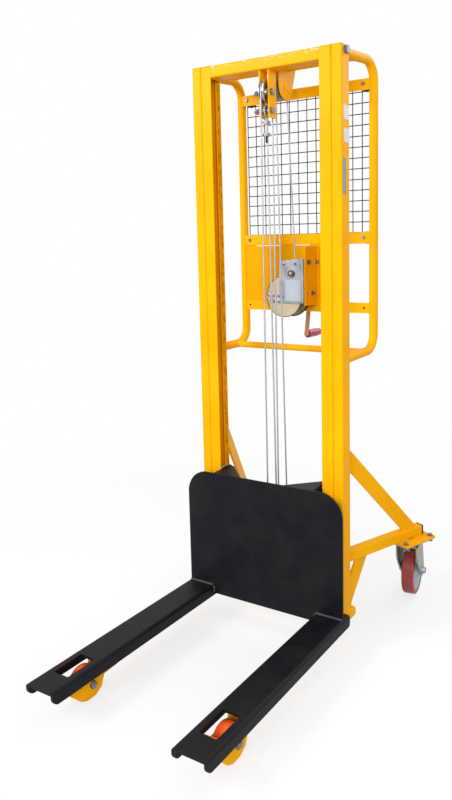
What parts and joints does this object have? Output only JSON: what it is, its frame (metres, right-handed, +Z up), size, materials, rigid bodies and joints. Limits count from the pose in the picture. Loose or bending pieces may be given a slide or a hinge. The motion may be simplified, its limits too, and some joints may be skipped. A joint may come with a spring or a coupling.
{
  "type": "winch material lift",
  "caption": "Hand-winched material lift with a twin-rail mast, sliding fork carriage, wire rope tackle, mesh guard, front rollers and rear swivel casters.",
  "frame": {"origin": "on the floor, in the middle of the lift's footprint", "axes": "+X to the lift's right as seen from the fork side, +Y from the fork tips back to the casters, +Z up the mast"},
  "size_m": [0.9752, 1.4348, 2.1213],
  "materials": {
    "yellow": "gloss",
    "black_steel": "satin",
    "zinc": "satin",
    "chromate": "satin",
    "rope": "satin",
    "orange": "satin",
    "red_tyre": "satin",
    "white_nylon": "satin",
    "rubber": "matte",
    "black_plastic": "matte",
    "red_grip": "gloss"
  },
  "bodies": {
    "chassis": {"left_post": "yellow", "right_post": "yellow", "left_rail": "yellow", "right_rail": "yellow", "mast_caps": "yellow", "top_beam": "yellow", "base_crossmember": "yellow", "left_leg": "yellow", "right_leg": "yellow", "roller_brackets": "yellow", "left_outrigger": "yellow", "right_outrigger": "yellow", "outrigger_braces": "yellow", "base_stays": "yellow", "caster_plates": "yellow", "left_handle": "yellow", "right_handle": "yellow", "handle_bars": "yellow", "panel_strips": "yellow", "winch_panel": "yellow", "winch_bracket": "yellow", "sheave_plates": "yellow", "mesh_guard": "black_steel", "frame_bolts": "zinc", "axle_bolts": "zinc", "rope_fittings": "zinc", "winch_frame": "zinc", "caster_heads": "zinc", "rope_top": "rope", "rope_falls": "rope", "fork_stops": "rubber", "outrigger_caps": "black_plastic"},
    "carriage": {"back_plate": "black_steel", "left_fork": "black_steel", "right_fork": "black_steel", "carriage_brackets": "black_steel", "pulley_cheeks": "black_steel", "carriage_pins": "zinc", "rope_bottom": "rope"},
    "drum": {"winch_drum": "chromate", "drum_gear": "zinc", "rope_winding": "rope"},
    "crank": {"crank_shaft": "zinc", "crank_arm": "chromate"},
    "grip": {"crank_grip": "red_grip"},
    "pawl": {"brake_pawl": "zinc"},
    "sheave_front": {"front_sheave": "zinc"},
    "sheave_rear": {"rear_sheave": "zinc"},
    "pulley_front": {"front_pulley": "zinc"},
    "pulley_rear": {"rear_pulley": "zinc"},
    "guides_upper": {"upper_guide_rollers": "zinc"},
    "guides_lower": {"lower_guide_rollers": "zinc"},
    "roller_left": {"left_roller": "orange"},
    "roller_right": {"right_roller": "orange"},
    "caster_left": {"left_caster_fork": "zinc"},
    "caster_right": {"right_caster_fork": "zinc"},
    "wheel_left": {"left_tyre": "red_tyre", "left_hub": "white_nylon"},
    "wheel_right": {"right_tyre": "red_tyre", "right_hub": "white_nylon"}
  },
  "joints": [
    {"name": "crank_turn", "type": "hinge", "parent": "chassis", "child": "crank", "pos_m": [0.00274, 0.42562, 1.34023], "axis": [0, -1, 0], "range_deg": [0, 23979]},
    {"name": "carriage_lift", "type": "slide", "parent": "chassis", "child": "carriage", "axis": [0, 0, 1], "range_m": [0, 1.4], "deforming": ["rope_falls"]},
    {"name": "drum_turn", "type": "hinge", "parent": "chassis", "child": "drum", "pos_m": [-0.038, 0.33762, 1.25], "axis": [0, 1, 0], "range_deg": [0, 5883]},
    {"name": "front_sheave_turn", "type": "hinge", "parent": "chassis", "child": "sheave_front", "pos_m": [0, 0.15262, 1.986], "axis": [-1, 0, 0], "range_deg": [0, 4223]},
    {"name": "rear_sheave_turn", "type": "hinge", "parent": "chassis", "child": "sheave_rear", "pos_m": [0, 0.25262, 2.02], "axis": [-1, 0, 0], "range_deg": [0, 8445]},
    {"name": "front_pulley_turn", "type": "hinge", "parent": "carriage", "child": "pulley_front", "pos_m": [0, 0.14562, 0.3], "axis": [-1, 0, 0], "range_deg": [0, 2589]},
    {"name": "rear_pulley_turn", "type": "hinge", "parent": "carriage", "child": "pulley_rear", "pos_m": [0, 0.22162, 0.3], "axis": [1, 0, 0], "range_deg": [0, 7764]},
    {"name": "upper_guides_roll", "type": "hinge", "parent": "carriage", "child": "guides_upper", "pos_m": [0, 0.15562, 0.558], "axis": [1, 0, 0], "range_deg": [0, 3344]},
    {"name": "lower_guides_roll", "type": "hinge", "parent": "carriage", "child": "guides_lower", "pos_m": [0, 0.15562, 0.15], "axis": [-1, 0, 0], "range_deg": [0, 3344]},
    {"name": "grip_spin", "type": "hinge", "parent": "crank", "child": "grip", "pos_m": [-0.02513, 0.52362, 1.08776], "axis": [0, 1, 0], "continuous": true},
    {"name": "pawl_swing", "type": "hinge", "parent": "chassis", "child": "pawl", "pos_m": [-0.03126, 0.39662, 1.37623], "axis": [0, -1, 0], "range_deg": [0, 14]},
    {"name": "left_roller_spin", "type": "hinge", "parent": "chassis", "child": "roller_left", "pos_m": [-0.2845, -0.54438, 0.05], "axis": [1, 0, 0], "continuous": true},
    {"name": "left_caster_swivel", "type": "hinge", "parent": "chassis", "child": "caster_left", "pos_m": [-0.39622, 0.56125, 0.22], "axis": [0, 0, 1], "continuous": true},
    {"name": "left_wheel_spin", "type": "hinge", "parent": "caster_left", "child": "wheel_left", "pos_m": [-0.38857, 0.61571, 0.1], "axis": [0.9903, -0.1392, 0], "continuous": true},
    {"name": "right_roller_spin", "type": "hinge", "parent": "chassis", "child": "roller_right", "pos_m": [0.2845, -0.54438, 0.05], "axis": [1, 0, 0], "continuous": true},
    {"name": "right_caster_swivel", "type": "hinge", "parent": "chassis", "child": "caster_right", "pos_m": [0.39622, 0.56125, 0.22], "axis": [0, 0, 1], "continuous": true},
    {"name": "right_wheel_spin", "type": "hinge", "parent": "caster_right", "child": "wheel_right", "pos_m": [0.38857, 0.61571, 0.1], "axis": [0.9903, 0.1392, 0], "continuous": true}
  ],
  "couplings": [
    {"joint": "carriage_lift", "follows": "crank_turn", "m_per_rad": 0.003345},
    {"joint": "drum_turn", "follows": "crank_turn", "ratio": 0.24528},
    {"joint": "front_sheave_turn", "follows": "crank_turn", "ratio": 0.17606},
    {"joint": "rear_sheave_turn", "follows": "crank_turn", "ratio": 0.35211},
    {"joint": "front_pulley_turn", "follows": "crank_turn", "ratio": 0.1079},
    {"joint": "rear_pulley_turn", "follows": "crank_turn", "ratio": 0.32371},
    {"joint": "upper_guides_roll", "follows": "crank_turn", "ratio": 0.13938},
    {"joint": "lower_guides_roll", "follows": "crank_turn", "ratio": 0.13938}
  ]
}
